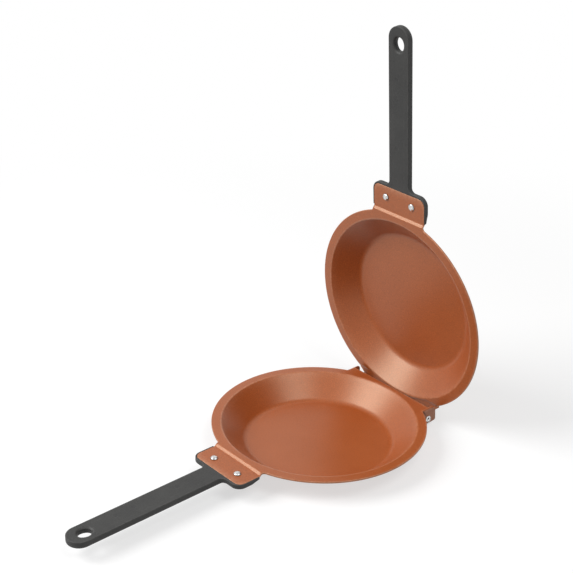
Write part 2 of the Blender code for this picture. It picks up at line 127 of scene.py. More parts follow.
def rim_shares(lip, edge):
    """How far each ring of the rim lies from the lip to the edge, as shares, ring by column. The rings
    keep close together by the lip and follow the two bends of the crease where a column crosses it."""
    run = edge - lip
    length = np.linalg.norm(run, axis=1)
    fall = np.minimum(run[:, 1], -0.01 * mm)
    bends = [crease_y + crease_ease, crease_y - crease_ease]
    bends += [crease_y - crease_run + crease_ease, crease_y - crease_run - crease_ease]
    knots = [np.zeros_like(length), 1.6 * mm / length]
    for bend, most in zip(bends, (0.80, 0.85, 0.90, 0.95)):
        share = np.where(run[:, 1] < 0, (bend - lip[:, 1]) / fall, 0)
        knots.append(np.clip(share, knots[-1] + 0.03, most))
    knots.append(np.ones_like(length))
    shares = []
    for start, end, parts in zip(knots[:-1], knots[1:], (7, 5, 4, 3, 4, 7)):
        step = np.arange(1, parts + 1)[:, None] / parts
        shares.append(start + (end - start) * step)
    return np.vstack(shares)


def pressed_sheet(outline, press):
    """The blank as one closed skin. Each column lies over one point of the outline, seen from the bowl's
    centre: it runs out over the floor, wall and rim, round the sheet's edge, and back underneath. The
    press lowers it by an amount that depends on the place in plan alone. Its painted highlight is a bell
    curve across the lip, and whole at the sheet's edge."""
    column = outline / np.linalg.norm(outline, axis=1)[:, None]
    normal = outward(outline)
    inside = outline - normal * sheet_edge
    lip = column * lip_radius
    shares = rim_shares(lip, inside)[:, :, None]
    upper = bowl_line(floor_bend, lip_outside)
    under = bowl_line(floor_bend + sheet, lip_bend)[::-1]
    turn = np.radians(np.linspace(0, 90, 5))[1:]
    plan = [upper[:, 0, None, None] * column, lip + (inside - lip) * shares]
    height = [upper[:, 1], np.zeros(len(shares))]
    plan += [outline + normal * sheet_edge * (np.sin(turn)[:, None, None] - 1)]
    height += [sheet_edge * (np.cos(turn) - 1)]
    turn = np.radians(np.linspace(0, 90, 5))
    plan += [outline + normal * sheet_edge * (np.cos(turn)[:, None, None] - 1)]
    height += [sheet_edge * (1 - np.sin(turn)) - sheet]
    plan += [lip + (inside - lip) * shares[-2::-1], under[:, 0, None, None] * column]
    height += [np.full(len(shares) - 1, -sheet), under[:, 1]]
    plan, height = np.vstack(plan), np.concatenate(height)
    level = height[:, None] - press(plan[..., 0], plan[..., 1])
    # Painted highlight: a bell curve across the lip, and full strength round the sheet's edge.
    painted_lip_highlight = np.exp(-(((lip_radius - upper[:, 0]) / mm - 0.9) ** 2) / 0.8)
    worn_and_painted_light = np.concatenate([0.8 * painted_lip_highlight, np.zeros(len(shares) - 2), [0.3, 0.8], np.ones(8)])
    worn_and_painted_light = np.concatenate([worn_and_painted_light, [0.5], np.zeros(len(height) - len(worn_and_painted_light) - 1)])
    return np.dstack([plan, level]), False, True, np.broadcast_to(worn_and_painted_light[:, None], level.shape)


def tab_and_rim(rim_end):
    """Right half of the outline from the middle of the tab: its end, corner and side, the hollow fillet
    at its root and the round rim up to an angle in degrees."""
    root_x = tab_half_width + tab_root
    root_y = -np.sqrt((rim_radius + tab_root) ** 2 - root_x**2)
    root_angle = np.degrees(np.arctan2(root_y, root_x))
    corner = (tab_half_width - tab_corner, tab_end_y + tab_corner)
    parts = [[(0, tab_end_y)], arc(corner, tab_corner, -90, 0, 9)]
    parts += [arc((root_x, root_y), tab_root, 180, 180 + root_angle, 7)]
    parts += [arc((0, 0), rim_radius, root_angle, rim_end, int((rim_end - root_angle) / 1.3))[1:]]
    return np.vstack(parts)


def set_down_tab(x, y):
    """The tab lies below the rim by one drop, past a slope between two bends."""
    return crease_drop * eased(crease_y - y, crease_run, crease_ease)


def rounded(corners, steps=6):
    """A closed outline from corners (x, y, radius), each replaced by an arc whose centre lies on the
    corner's bisector, at the radius over the sine of half the angle."""
    points = []
    for index, (x, y, radius) in enumerate(corners):
        corner = np.array((x, y))
        back = corners[index - 1][:2] - corner
        on = corners[(index + 1) % len(corners)][:2] - corner
        back, on = back / np.linalg.norm(back), on / np.linalg.norm(on)
        half = np.arccos(np.clip(back @ on, -1, 1)) / 2
        middle = (back + on) / np.linalg.norm(back + on)
        centre = corner + middle * radius / np.sin(half)
        first = corner + back * radius / np.tan(half) - centre
        last = corner + on * radius / np.tan(half) - centre
        start = np.degrees(np.arctan2(first[1], first[0]))
        swing = np.degrees(np.arctan2(first[0] * last[1] - first[1] * last[0], first @ last))
        points.append(arc(centre, radius, start, start + swing, steps) if radius else corner[None])
    return np.vstack(points)


def upright_plate(outline, centre, bore, inside, outside, edge):
    """A plate that stands square to X, with a bore. Each column starts at the bore on the outer face,
    runs to the outline, round its edge by two quarter circles and back to the bore on the inner face."""
    outline = evened(np.vstack([outline, outline[:1]]), 0.8 * mm)[:-1]
    swept = outline[:, 0] * np.roll(outline[:, 1], -1) - outline[:, 1] * np.roll(outline[:, 0], -1)
    outline = outline if swept.sum() > 0 else outline[::-1]
    edge = np.broadcast_to(edge(outline) if callable(edge) else edge, len(outline))[:, None]
    normal = outward(outline)
    spoke = outline - centre
    hole = centre + spoke / np.linalg.norm(spoke, axis=1)[:, None] * bore
    turn = np.radians(np.linspace(0, 90, 5))[:, None, None]
    share = np.linspace(0, 1, 5)[:-1, None, None]
    small = np.minimum(edge, small_edge)
    flat = [hole + (outline - normal * edge - hole) * share, outline + normal * edge * (np.sin(turn) - 1)]
    flat += [outline + normal * small * (np.cos(turn) - 1)]
    flat += [hole + (outline - normal * small - hole) * share[::-1]]
    depth = [outside + 0 * share, outside + edge * (np.cos(turn) - 1)]
    depth += [inside + small * (1 - np.sin(turn)), inside + 0 * share]
    depth = [np.broadcast_to(d, f.shape[:2] + (1,)) for d, f in zip(depth, flat)]
    grid = np.concatenate([np.vstack(depth), np.vstack(flat)], axis=2)
    # Painted highlight along the plate's rounded edge.
    worn_and_painted_light = np.concatenate([np.zeros(4), np.full(10, 0.8), np.zeros(4)])[:, None]
    return grid, True, True, np.broadcast_to(worn_and_painted_light, grid.shape[:2])


def across(part):
    """The same part on the other side of the middle."""
    return (part[0] * (-1, 1, 1), *part[1:])


def on_lower(points):
    """From the pressing tool to the standing pan: lifted until its underside is at zero."""
    return points + (0, 0, pan_height)


def skin(name, parts, place):
    """One mesh from grids of points. Each point is joined to its neighbours by four-sided faces, and a
    grid that is marked round, in its rows or its columns, meets itself there. Points that fall together
    become one."""
    corners, faces, worn_and_painted_light, first = [], [], [], 0
    for grid, round_rows, round_columns, wear_and_painted_light in parts:
        index = first + np.arange(grid.shape[0] * grid.shape[1]).reshape(grid.shape[:2])
        first += index.size
        index = np.vstack([index, index[:1]]) if round_rows else index
        index = np.hstack([index, index[:, :1]]) if round_columns else index
        quads = [index[:-1, :-1], index[:-1, 1:], index[1:, 1:], index[1:, :-1]]
        faces.append(np.stack(quads, axis=-1).reshape(-1, 4))
        corners.append(grid.reshape(-1, 3))
        worn_and_painted_light.append(wear_and_painted_light.ravel())
    corners, faces, worn_and_painted_light = np.vstack(corners), np.vstack(faces), np.concatenate(worn_and_painted_light)
    mesh = bpy.data.meshes.new(name)
    mesh.vertices.add(len(corners))
    mesh.vertices.foreach_set("co", place(corners).astype(np.float32).ravel())
    mesh.loops.add(faces.size)
    mesh.loops.foreach_set("vertex_index", faces.astype(np.int32).ravel())
    mesh.polygons.add(len(faces))
    mesh.polygons.foreach_set("loop_start", np.arange(0, faces.size, 4, dtype=np.int32))
    drawn = mesh.attributes.new("drawn", "FLOAT_VECTOR", "POINT")
    drawn.data.foreach_set("vector", corners.astype(np.float32).ravel())
    # Per point: painted highlight on the coat's lip and edges, rub wear with painted highlight on the handles'
    # edges, and painted shade on the rivets.
    mesh.attributes.new("wear_and_painted_light", "FLOAT", "POINT").data.foreach_set("value", worn_and_painted_light.astype(np.float32))
    mesh.update(calc_edges=True)
    form = bmesh.new()
    form.from_mesh(mesh)
    bmesh.ops.remove_doubles(form, verts=form.verts, dist=0.001 * mm)
    bmesh.ops.recalc_face_normals(form, faces=form.faces)
    form.to_mesh(mesh)
    form.free()
    mesh.shade_smooth()
    mesh.set_sharp_from_angle(angle=np.radians(50))
    piece = bpy.data.objects.new(name, mesh)
    bpy.context.scene.collection.objects.link(piece)
    even = piece.modifiers.new("even_normals", "WEIGHTED_NORMAL")
    even.keep_sharp = True
    return piece


def node(tree, kind, **values):
    """A shader node with some of its values or sockets set, by name."""
    made = tree.nodes.new(kind)
    for key, value in values.items():
        if key in made.inputs:
            made.inputs[key].default_value = value
        else:
            setattr(made, key, value)
    return made


def speckle(tree, place, scale, detail, low, high):
    """A soft noise about one over the scale wide, in metres, spread to run from one number to another."""
    noise = node(tree, "ShaderNodeTexNoise", Scale=scale, Detail=detail, Roughness=0.55)
    spread = node(tree, "ShaderNodeMapRange", clamp=True)
    tree.links.new(place, noise.inputs["Vector"])
    tree.links.new(noise.outputs["Fac"], spread.inputs["Value"])
    spread.inputs["From Min"].default_value = 0.3
    spread.inputs["From Max"].default_value = 0.7
    spread.inputs["To Min"].default_value = low
    spread.inputs["To Max"].default_value = high
    return spread.outputs["Result"]


def blend(tree, share, first, second):
    """Two colours mixed by a share; either may be a socket or a plain colour."""
    mix = node(tree, "ShaderNodeMix", data_type="RGBA")
    for source, socket in ((share, 0), (first, 6), (second, 7)):
        if hasattr(source, "is_linked"):
            tree.links.new(source, mix.inputs[socket])
        else:
            mix.inputs[socket].default_value = (*source, 1) if socket else source
    return mix.outputs[2]


def bump(tree, height, depth, onto=None):
    """A bump of that depth in metres, on top of another if one is given."""
    made = node(tree, "ShaderNodeBump", Strength=1.0, Distance=depth)
    tree.links.new(height, made.inputs["Height"])
    if onto is not None:
        tree.links.new(onto, made.inputs["Normal"])
    return made.outputs["Normal"]


def new_finish(name, **values):
    """A material with its node tree, its shader and the place in the object that its textures read."""
    material = bpy.data.materials.new(name)
    material.use_nodes = True
    shader = material.node_tree.nodes["Principled BSDF"]
    for key, value in values.items():
        shader.inputs[key.replace("_", " ")].default_value = value
    place = node(material.node_tree, "ShaderNodeTexCoord").outputs["Object"]
    return material, material.node_tree, shader, place


def coated_copper(name, pale, deep, painted_highlight_colour):
    """Sprayed copper-coloured coat: mica flakes up to a millimetre across, a slow drift of tint from
    uneven spraying, a faint orange peel, and a painted highlight: a paler line along the lip and the
    sheet's edge."""
    material, tree, shader, place = new_finish(name, Specular_IOR_Level=0.95, Specular_Tint=warm_gloss)
    drift = speckle(tree, place, 24, 3, 0, 1)
    flakes = speckle(tree, place, 1150, 3, 0, 1)
    peel = speckle(tree, place, 420, 2, 0, 1)
    colour = blend(tree, drift, pale, deep)
    dusted = blend(tree, flakes, tuple(0.66 * c for c in deep), tuple(1.34 * c for c in pale))
    colour = blend(tree, 0.55, colour, dusted)
    # Painted highlight: the coat turns to a paler copper in patches along the lip and the sheet's edge.
    wear_and_painted_light = node(tree, "ShaderNodeAttribute", attribute_name="wear_and_painted_light").outputs["Fac"]
    rub_and_painted_light = node(tree, "ShaderNodeMath", operation="MULTIPLY")
    tree.links.new(wear_and_painted_light, rub_and_painted_light.inputs[0])
    tree.links.new(speckle(tree, place, 300, 3, 0.15, 0.6), rub_and_painted_light.inputs[1])
    tree.links.new(blend(tree, rub_and_painted_light.outputs[0], colour, painted_highlight_colour), shader.inputs["Base Color"])
    tree.links.new(speckle(tree, place, 900, 2, 0.33, 0.41), shader.inputs["Roughness"])
    relief = bump(tree, peel, 0.012 * mm)
    tree.links.new(bump(tree, flakes, 0.016 * mm, relief), shader.inputs["Normal"])
    return material


warm_gloss = (1.0, 0.84, 0.64, 1)
pale_copper = (0.37, 0.086, 0.018)
deep_copper = (0.31, 0.064, 0.009)
# Paler copper for the painted highlight along the lip and the sheet's edge.
painted_highlight_copper = (0.62, 0.30, 0.18)
coat = coated_copper("copper_coat", pale_copper, deep_copper, painted_highlight_copper)

hinge_side = [(wing_half_width, hinge_y - wing_corner), (wing_half_width - wing_corner, hinge_y)]
hinge_side += [(0, hinge_y)]
half = np.vstack([tab_and_rim(np.degrees(np.arccos(wing_half_width / rim_radius))), hinge_side])
lower_outline = both_halves(evened(half, 2.1 * mm))
ear_corners = [
    (pivot_y - 7.8 * mm, -0.02 * mm, 0),
    (pivot_y + 8.2 * mm, -0.02 * mm, 3.5 * mm),
    (pivot_y + 8.2 * mm, 0.6 * mm - pivot_drop, 3.5 * mm),
    (pivot_y + 0.6 * mm, -5.2 * mm - pivot_drop, 4.5 * mm),
    (pivot_y - 4.0 * mm, -5.2 * mm - pivot_drop, 2.2 * mm),
]


def fold_edge(outline):
    """The edge radius of the lower ear: wide along its top, where the sheet is folded, and small
    elsewhere."""
    return np.where(outline[:, 1] > -1.0 * mm, ear_fold, small_edge)


ear_centre = np.array((pivot_y, -pivot_drop))
ear = upright_plate(rounded(ear_corners), ear_centre, ear_bore, ear_inside, ear_outside, fold_edge)
pressing = pressed_sheet(lower_outline, set_down_tab)
lower_pan = skin("lower_pan_pressing", [pressing, ear, across(ear)], on_lower)
lower_pan.data.materials.append(coat)
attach(lower_pan, "lower")
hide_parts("lower_pan")

# Lid. The same pressing as the lower pan, hung the other way up; at the hinge a strip runs on past its
# rim, set back from the mating face and narrower at its end, where an ear is bent from each side. The
# ears hang between those of the lower pan, and a heel on each meets the lower rim and holds the lid just
# short of upright.
open_angle = np.radians(85.0)
rim_gap = 0.3 * mm
strip_y = 82.5 * mm
strip_end_y = 100.4 * mm
strip_drop = 1.2 * mm
strip_slope = 0.9 * mm
strip_shoulder = 2.5 * mm
strip_neck = 3.0 * mm
strip_corner = 1.0 * mm
arm_inset = 0.8 * mm
heel_top = 8.6 * mm
heel_near = 1.0 * mm
heel_far = 6.0 * mm
lid_ear_outside = 46.3 * mm
lid_ear_inside = 44.5 * mm
lid_ear_radius = 7.2 * mm
strip_reach = 9.2 * mm
pivot_z = pan_height - pivot_drop
lid_pivot_z = rim_gap + pivot_drop


def set_down_tab_and_strip(x, y):
    """The tab's drop, and a strip at the hinge that is set back outside the lip and past a straight
    line."""
    inside = np.minimum(y - strip_y, np.hypot(x, y) - lip_radius - 0.4 * mm)
    return set_down_tab(x, y) + strip_drop * eased(inside, strip_slope, 0.25 * mm)


def on_lid(points):
    """From the pressing tool to the open lid: turned over, then swung up about the hinge."""
    y, z = points[..., 1] - pivot_y, lid_pivot_z - points[..., 2]
    swung_y = pivot_y + y * np.cos(open_angle) + z * np.sin(open_angle)
    swung_z = pivot_z - y * np.sin(open_angle) + z * np.cos(open_angle)
    return np.stack([points[..., 0], swung_y, swung_z], axis=-1)


def lid_ear_outline():
    """One ear of the lid, in the pressing frame: a disc about the pivot, the arm to the strip, and the
    heel."""
    centre = (pivot_y, lid_pivot_z)
    cos, sin = np.cos(open_angle), np.sin(open_angle)
    heel = np.array([(-heel_near, heel_top), (-heel_far, heel_top)])
    heel = [heel[:, 0] * cos - heel[:, 1] * sin, -heel[:, 0] * sin - heel[:, 1] * cos]
    heel = np.column_stack(heel) + centre
    arm_front = hinge_y + arm_inset
    foot = -strip_drop - sheet / 2
    arm_angle = np.degrees(np.arccos((arm_front - pivot_y) / lid_ear_radius))
    heel_angle = np.degrees(np.arctan2(heel[1][1] - centre[1], heel[1][0] - centre[0]))
    parts = [[(arm_front, foot), (strip_end_y, foot)], arc(centre, strip_reach, 0, 60, 8)]
    parts += [arc(centre, lid_ear_radius, 75, heel_angle, 14), heel[::-1]]
    parts += [arc(centre, lid_ear_radius, 190, 360 - arm_angle, 16)]
    return np.vstack(parts)


strip_half_width = np.sqrt(rim_radius**2 - strip_y**2)
strip_side = [(strip_half_width, strip_y + strip_shoulder), (lid_ear_outside, hinge_y - strip_neck)]
strip_side += [(lid_ear_outside, strip_end_y - strip_corner)]
strip_side += [(lid_ear_outside - strip_corner, strip_end_y), (0, strip_end_y)]
half = np.vstack([tab_and_rim(np.degrees(np.arcsin(strip_y / rim_radius))), strip_side])
lid_outline = both_halves(evened(half, 2.1 * mm))
ear_centre = np.array((pivot_y, lid_pivot_z))
ear = upright_plate(lid_ear_outline(), ear_centre, ear_bore, lid_ear_inside, lid_ear_outside, 0.3 * mm)
pressing = pressed_sheet(lid_outline, set_down_tab_and_strip)
lid = skin("lid_pressing", [pressing, ear, across(ear)], on_lid)
lid.data.materials.append(coat)
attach(lid, "lid")
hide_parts("upper_pan")

# Handles. Black heat-resistant plastic, each moulded in one shot: a wide base with a seat that the tab
# lies in, flush with the moulding, a flat bar with rounded back edges that runs on under the base as a
# rib, and an oval hanging hole. The two come from one mould, so they are the same but for the pan that
# they are riveted to.
seat_floor = -2.1 * mm
seat_side = tab_half_width + 0.3 * mm
seat_end = tab_end_y - 0.3 * mm
seat_corner = tab_corner + 0.3 * mm
base_side = tab_half_width + 1.1 * mm
base_front = -97.5 * mm
base_end = -121.5 * mm
base_corner = 8.5 * mm
base_back = -4.8 * mm
base_root = 5.5 * mm
taper_start = -105.5 * mm
taper_rise = 2.2 * mm
bar_side = 11.4 * mm
bar_end = -268.8 * mm
bar_back = -6.2 * mm
bar_round = 1.8 * mm
front_round = 0.45 * mm
hole_y = -252.9 * mm
hole_waist = np.array((5.2, 6.2)) * mm
hole_mouth = hole_waist * (1 + 1.4 / 5.2)
mark_inside = 1.9 * mm
mark_outside = 2.3 * mm
mark_depth = 0.08 * mm
mark_shade = 0.35


def handle_lines():
    """The handle's right half in plan, spoke by spoke from the open front to the far end. Returns the
    outline, its outward normals, the inner end of each spoke, which is the middle line or the hanging
    hole, and whether the spoke starts in the tab's seat and ends on a raised edge."""

    def line(start, end, steps):
        return np.linspace(start, end, steps + 1)

    def run(outer, normal, inner, seat, raised):
        many = len(outer)
        flags = np.broadcast_to((seat, raised), (many, 2))
        return outer, np.broadcast_to(normal, (many, 2)), np.broadcast_to(inner, (many, 2)), flags

    def spine(start, end, many):
        return np.column_stack([np.zeros(many), np.linspace(start, end, many)])

    def mouth(start, end, many):
        angle = np.radians(np.linspace(start, end, many))
        return np.column_stack([hole_mouth[0] * np.cos(angle), hole_y + hole_mouth[1] * np.sin(angle)])

    def round_normal(start, end, steps, way=1):
        return way * arc((0, 0), 1, start, end, steps)

    hub = (0, -104.0 * mm)
    runs = [run(line((0, base_front), (seat_side, base_front), 16), (0, 1), hub, 1, 0)]
    small = base_side - 0.5 * mm
    near = arc((small, base_front - 0.5 * mm), 0.5 * mm, 90, 0, 4)
    lead = np.vstack([[(seat_side + 0.05 * mm, base_front)], near])
    runs += [run(lead, np.vstack([[(0, 1)], round_normal(90, 0, 4)]), hub, 1, 1)]
    side = line((base_side, base_front - 1.5 * mm), (base_side, base_end + base_corner), 12)
    runs += [run(side, (1, 0), spine(-104.3 * mm, -113.5 * mm, 13), 1, 1)]
    corner = arc((base_side - base_corner, base_end + base_corner), base_corner, 0, -90, 12)[1:]
    foot = line((base_side - base_corner, base_end), (bar_side + base_root, base_end), 4)[1:]
    turn = np.vstack([round_normal(0, -90, 12)[1:], np.broadcast_to((0, -1), (4, 2))])
    runs += [run(np.vstack([corner, foot]), turn, spine(-113.9 * mm, seat_end, 16), 1, 1)]
    root = arc((bar_side + base_root, base_end - base_root), base_root, 90, 180, 10)
    runs += [run(root, round_normal(90, 180, 10, -1), spine(seat_end, base_end - base_root, 11), 0, 1)]
    far = -241.0 * mm
    bar = line((bar_side, base_end - base_root - 1.0 * mm), (bar_side, far), 36)
    runs += [run(bar, (1, 0), spine(base_end - base_root - 1.0 * mm, hole_y + hole_mouth[1], 37), 0, 1)]
    beside = line((bar_side, far - 1.2 * mm), (bar_side, bar_end + bar_side), 10)
    runs += [run(beside, (1, 0), mouth(90, -15, 12)[1:], 0, 1)]
    end = arc((0, bar_end + bar_side), bar_side, 0, -90, 16)[1:]
    runs += [run(end, round_normal(0, -90, 16)[1:], mouth(-15, -90, 17)[1:], 0, 1)]
    return [np.vstack(part) for part in zip(*runs)]


def seat_share(inner, outer):
    """The share of each spoke at which it leaves the tab's seat: where it meets the seat's side or end,
    or its round corner, by the larger root of the circle's equation."""
    run = outer - inner
    side = np.where(run[:, 0] > 0, seat_side / np.maximum(run[:, 0], 1e-9), 9)
    end = np.where(outer[:, 1] < seat_end, (seat_end - inner[:, 1]) / np.minimum(run[:, 1], -1e-9), 9)
    share = np.minimum(side, end)
    met = inner + run * np.minimum(share, 1)[:, None]
    centre = np.array((seat_side - seat_corner, seat_end + seat_corner))
    from_centre = inner - centre
    a, b = (run**2).sum(1), (run * from_centre).sum(1)
    c = (from_centre**2).sum(1) - seat_corner**2
    root = (-b + np.sqrt(np.maximum(b**2 - a * c, 0))) / a
    rounded_off = (met[:, 0] > centre[0]) & (met[:, 1] < centre[1])
    return np.clip(np.where(rounded_off, root, share), 0, 0.97)


def back_level(x, y):
    """Height of the handle's back: the base's back, which rises towards the pan, less a rib as high as
    the bar that starts by a ramp and has quarter-round shoulders."""
    base = base_back + taper_rise * np.clip((y - taper_start) / (base_front - taper_start), 0, 1)
    ramp = np.clip((taper_start - y) / (2.55 * mm), 0, 1)
    over = np.clip(np.abs(x) - bar_side + bar_round, 0, bar_round)
    proud = np.sqrt(bar_round**2 - over**2) - (bar_round - base_back + bar_back)
    return base - ramp * np.maximum(proud, 0)


def handle_parts():
    """A moulding as two mirrored skins. Each spoke of the plan carries one section: seat floor, seat
    wall, top of the moulding, rounded front edge, side with its parting line, rounded back edge, shoulder
    and rib."""
    outer, normal, inner, flags = handle_lines()
    seat, raised = flags.T
    run = outer - inner
    length = np.linalg.norm(run, axis=1)
    on_bar = outer[:, 1] < base_end - base_root
    first_root = np.argmax(seat == 0)
    leaving = np.clip((np.arange(len(outer)) - first_root) / 8, 0, 1) * 0.5
    share = np.where(seat > 0, seat_share(inner, outer), leaving)
    gap = (1 - share) * length
    floor = np.where(seat > 0, seat_floor, 0.0)
    top = np.where(raised > 0, 0.0, seat_floor)
    lead = np.minimum(np.where(raised > 0, front_round, 0.1 * mm), 0.45 * gap)
    sill = np.where((seat > 0) & (raised > 0), np.minimum(0.2 * mm, 0.2 * gap), 0.02 * mm)
    thick = top - np.where(on_bar, bar_back, back_level(outer[:, 0], outer[:, 1]))
    trail = np.minimum(1.4 * mm, 0.4 * thick)
    beside_bar = np.minimum(trail, 0.7 * (outer[:, 0] - bar_side) + 0.05 * mm)
    trail = np.where(outer[:, 1] < base_end + 1e-6, beside_bar, trail)

    # The third value of each row pales the moulding: partly rub wear, partly a painted highlight on its edges.
    plan, level, worn_and_painted_light = [], [], []

    def add(points, heights, wear_and_painted_light=0.0):
        plan.append(points)
        level.append(np.broadcast_to(heights, len(outer)))
        worn_and_painted_light.append(np.full(len(outer), wear_and_painted_light))

    wall = inner + run * share[:, None]
    heading = run / length[:, None]
    for part in (0, 0.33, 0.67, 1):
        add(inner + run * (share * part)[:, None], floor)
    add(wall, top - sill, 0.2)
    add(wall + heading * sill[:, None], top, 0.3)
    edge_in = outer - normal * lead[:, None]
    for part in (0.4, 0.8):
        add(wall + heading * sill[:, None] + (edge_in - wall - heading * sill[:, None]) * part, top)
    for turn in np.radians((0, 22, 45, 67, 90)):
        add(outer + normal * (lead * (np.sin(turn) - 1))[:, None], top + lead * (np.cos(turn) - 1), 0.9)
    side_start = top - lead
    back = np.where(on_bar, bar_back, back_level(outer[:, 0], outer[:, 1]))
    side_end = np.where(on_bar, bar_back + bar_round + 0.8 * mm, back + trail)
    for part, inset in ((0.15, 0), (0.44, 0), (0.48, 0.5), (0.52, 0.5), (0.56, 0), (0.85, 0)):
        groove = inset * np.where(raised > 0, 0.12 * mm, 0)
        add(outer - normal * groove[:, None], side_start + (side_end - side_start) * part)
    for turn in np.radians((0, 22, 45, 67, 90)):
        curved = outer + normal * (trail * (np.cos(turn) - 1))[:, None]
        straight_share = turn / np.radians(90)
        height = np.where(on_bar, side_end - 0.6 * mm * straight_share, back + trail * (1 - np.sin(turn)))
        add(np.where(on_bar[:, None], outer, curved), height, 0.5)
    trail_in = outer - normal * trail[:, None]
    shoulder = bar_side - bar_round + bar_round * np.sin(np.radians(np.linspace(77.2, 0, 8)))
    reach = np.clip(shoulder[:, None] / np.maximum(outer[:, 0], 1e-6), 0, np.linspace(0.93, 0.8, 8)[:, None])
    first = inner + run * reach[0][:, None]
    for part in (0.4, 0.8):
        point = trail_in + (first - trail_in) * part
        height = np.where(on_bar, bar_back + bar_round + 0.2 * mm - 0.15 * mm * part, back_level(*point.T))
        add(np.where(on_bar[:, None], outer, point), height)
    for turn, part in zip(np.radians(np.linspace(0, 90, 8)), reach):
        point = inner + run * part[:, None]
        curved = outer + normal * bar_round * (np.cos(turn) - 1)
        height = np.where(on_bar, bar_back + bar_round * (1 - np.sin(turn)), back_level(*point.T))
        add(np.where(on_bar[:, None], curved, point), height, 0.4)
    last = np.where(on_bar[:, None], outer - normal * bar_round, inner + run * reach[-1][:, None])
    for part in (0.35, 0.7, 1):
        point = last + (inner - last) * part
        add(point, np.where(on_bar, bar_back, back_level(*point.T)))

    grid = np.dstack([np.stack(plan), np.stack(level)])
    body = (grid, False, False, np.stack(worn_and_painted_light))

    angle = np.radians(np.concatenate([np.linspace(90, -15, 12), np.linspace(-15, -90, 17)[1:]]))[None, :]
    depth = np.array((0, 0.35, 0.75, 1.1, 1.4, 1.8, 3.1, 4.4, 4.8, 5.1, 5.45, 5.85, 6.2)) * mm
    flare = np.array((1, 0.72, 0.40, 0.16, 0.04, 0, 0, 0, 0.04, 0.16, 0.40, 0.72, 1))[:, None]
    half_x = hole_waist[0] + (hole_mouth[0] - hole_waist[0]) * flare
    half_y = hole_waist[1] + (hole_mouth[1] - hole_waist[1]) * flare
    wall = [half_x * np.cos(angle), hole_y + half_y * np.sin(angle), -depth[:, None] + 0 * angle]
    # Partly rub wear, partly a painted highlight round the hole's mouth.
    hole = (np.dstack(wall), False, False, 0.6 * np.broadcast_to(flare > 0.5, wall[0].shape))
    lowered = [(part[0] - (0, 0, crease_drop), *part[1:]) for part in (body, hole)]
    return lowered + [across(part) for part in lowered]


def moulded_black(name, marks):
    """Black moulded plastic: a spark-eroded grain about 0.2 mm wide, a cloudy sheen left by the flow of
    the melt, paler rounded edges that are partly rub wear and partly a painted highlight, and faint
    round marks of the ejector pins on the face."""
    material, tree, shader, place = new_finish(name, Specular_IOR_Level=0.30)
    grain = speckle(tree, place, 3800, 3, 0, 1)
    cloud = speckle(tree, place, 60, 4, 0, 1)
    colour = blend(tree, cloud, (0.036, 0.036, 0.035), (0.050, 0.050, 0.048))
    dust = blend(tree, grain, (0.026, 0.026, 0.026), (0.066, 0.066, 0.064))
    colour = blend(tree, 0.35, colour, dust)
    # Paler edges: partly rub wear, partly a painted highlight on the rounded edges.
    wear_and_painted_light = node(tree, "ShaderNodeAttribute", attribute_name="wear_and_painted_light").outputs["Fac"]
    rub_and_painted_light = node(tree, "ShaderNodeMath", operation="MULTIPLY")
    tree.links.new(wear_and_painted_light, rub_and_painted_light.inputs[0])
    tree.links.new(speckle(tree, place, 180, 4, 0.05, 0.55), rub_and_painted_light.inputs[1])
    colour = blend(tree, rub_and_painted_light.outputs[0], colour, (0.095, 0.093, 0.090))
    drawn = node(tree, "ShaderNodeAttribute", attribute_name="drawn").outputs["Vector"]
    ring = None
    for x, y in marks:
        away = node(tree, "ShaderNodeVectorMath", operation="DISTANCE")
        tree.links.new(drawn, away.inputs[0])
        away.inputs[1].default_value = (x, y, -crease_drop)
        band = node(tree, "ShaderNodeMapRange", interpolation_type="SMOOTHSTEP")
        tree.links.new(away.outputs["Value"], band.inputs["Value"])
        band.inputs["From Min"].default_value = mark_inside
        band.inputs["From Max"].default_value = mark_outside
        band.inputs["To Min"].default_value = 1.0
        band.inputs["To Max"].default_value = 0.0
        if ring is None:
            ring = band.outputs["Result"]
        else:
            most = node(tree, "ShaderNodeMath", operation="MAXIMUM")
            tree.links.new(ring, most.inputs[0])
            tree.links.new(band.outputs["Result"], most.inputs[1])
            ring = most.outputs[0]
    relief = bump(tree, grain, 0.020 * mm)
    if ring is not None:
        shade = node(tree, "ShaderNodeMath", operation="MULTIPLY")
        tree.links.new(ring, shade.inputs[0])
        shade.inputs[1].default_value = mark_shade
        colour = blend(tree, shade.outputs[0], colour, (0.030, 0.030, 0.030))
        relief = bump(tree, ring, -mark_depth, relief)
    tree.links.new(colour, shader.inputs["Base Color"])
    tree.links.new(speckle(tree, place, 700, 3, 0.44, 0.60), shader.inputs["Roughness"])
    tree.links.new(relief, shader.inputs["Normal"])
    return material


pin_marks = [(-2.0 * mm, -222.0 * mm), (-2.0 * mm, -204.0 * mm), (-2.0 * mm, -159.5 * mm)]
moulding = handle_parts()
for half_name, body, place in (("lower", "lower", on_lower), ("upper", "lid", on_lid)):
    handle = skin(half_name + "_handle_moulding", moulding, place)
    handle.data.materials.append(moulded_black(half_name + "_handle_black", pin_marks))
    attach(handle, body)
    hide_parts(half_name + "_handle")

# Handle rivets, two to a handle. Solid aluminium with a low dome on the cooking side, pushed through the
# tab and the moulding and set down on a burr washer at the back, so that the tail is a little uneven.
rivet_x = 15.5 * mm
rivet_y = -109.0 * mm
rivet_head = np.array((3.3, 1.7)) * mm
rivet_shank = 2.0 * mm
rivet_tail = 2.9 * mm


